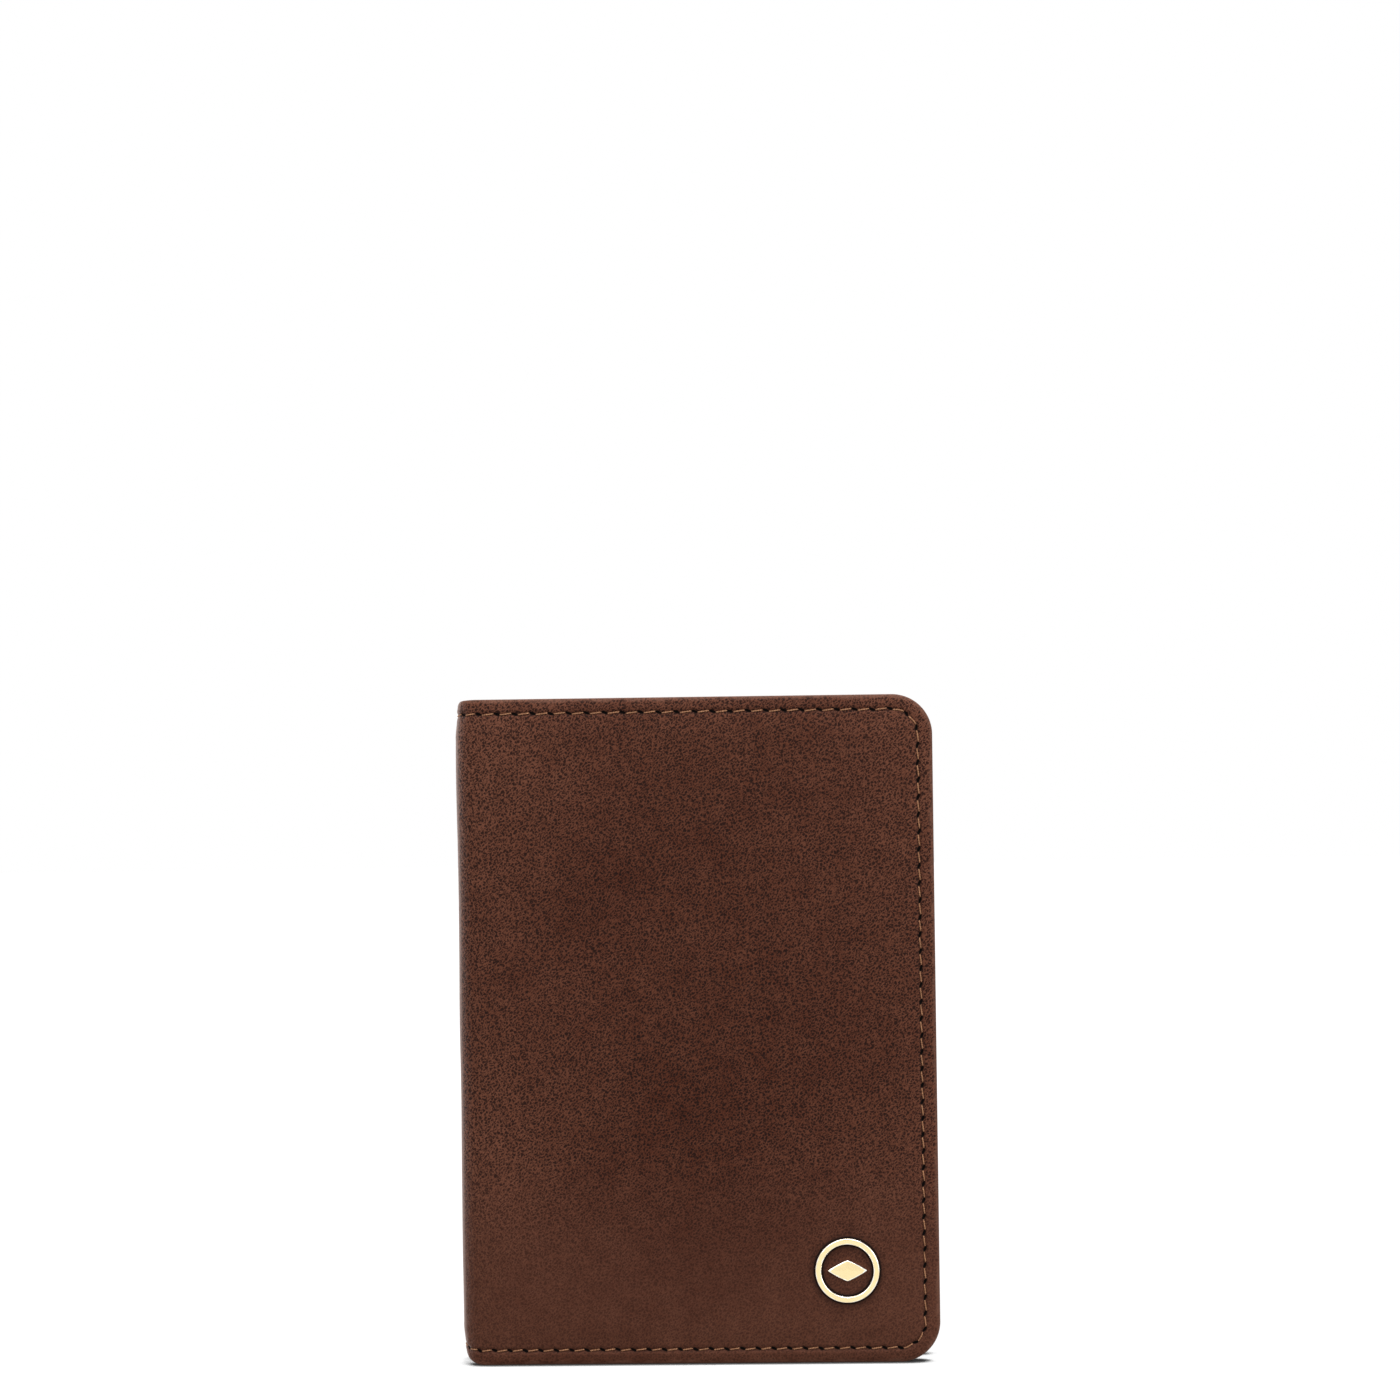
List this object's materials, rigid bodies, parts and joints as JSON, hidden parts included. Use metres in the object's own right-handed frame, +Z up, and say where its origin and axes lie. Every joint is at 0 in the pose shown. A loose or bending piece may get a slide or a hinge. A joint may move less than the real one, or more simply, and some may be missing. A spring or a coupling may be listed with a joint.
{
  "type": "passport holder",
  "caption": "Padded leather passport holder that opens like a book on two creases, with a passport sleeve, stepped card pockets and a small round metal emblem.",
  "frame": {"origin": "on the bottom edges that it stands on, midway across the width and midway between the outer faces of the two covers", "axes": "+X from the spine to the opening edge, +Y from the front cover to the back cover, +Z up; the front cover faces -Y"},
  "size_m": [0.1004, 0.0169, 0.14],
  "materials": {
    "cover_leather": "satin",
    "inner_leather": "satin",
    "lining_cloth": "matte",
    "padding": "matte",
    "stiffening_board": "matte",
    "thread": "matte",
    "emblem_brass": "polished",
    "washer_steel": "satin"
  },
  "bodies": {
    "back": {"back_cover_leather": "cover_leather", "back_padding": "padding", "back_board": "stiffening_board", "back_lining": "lining_cloth", "passport_sleeve": "inner_leather", "sleeve_lining": "lining_cloth", "sleeve_stitching": "thread", "back_outer_stitching": "thread", "back_inner_stitching": "thread"},
    "spine": {"spine_leather": "cover_leather", "spine_reinforcement": "stiffening_board", "spine_lining": "lining_cloth", "spine_stitching": "thread"},
    "front": {"front_cover_leather": "cover_leather", "front_padding": "padding", "front_board": "stiffening_board", "front_lining": "lining_cloth", "card_panel": "inner_leather", "card_pocket_1": "inner_leather", "card_pocket_2": "inner_leather", "card_pocket_3": "inner_leather", "card_pocket_4": "inner_leather", "pocket_backing_1": "lining_cloth", "pocket_backing_2": "lining_cloth", "pocket_backing_3": "lining_cloth", "pocket_stitching": "thread", "front_outer_stitching": "thread", "front_inner_stitching": "thread", "emblem_ring": "emblem_brass", "emblem_stud": "emblem_brass", "emblem_washer": "washer_steel"}
  },
  "joints": [
    {"name": "back_crease", "type": "hinge", "parent": "back", "child": "spine", "pos_m": [-0.0487, 0.0065, 0.07], "axis": [0, 0, -1], "range_deg": [0, 90]},
    {"name": "front_crease", "type": "hinge", "parent": "spine", "child": "front", "pos_m": [-0.0487, -0.0065, 0.07], "axis": [0, 0, -1], "range_deg": [0, 90]}
  ],
  "couplings": [
    {"joint": "back_crease", "follows": "front_crease", "ratio": 1}
  ]
}
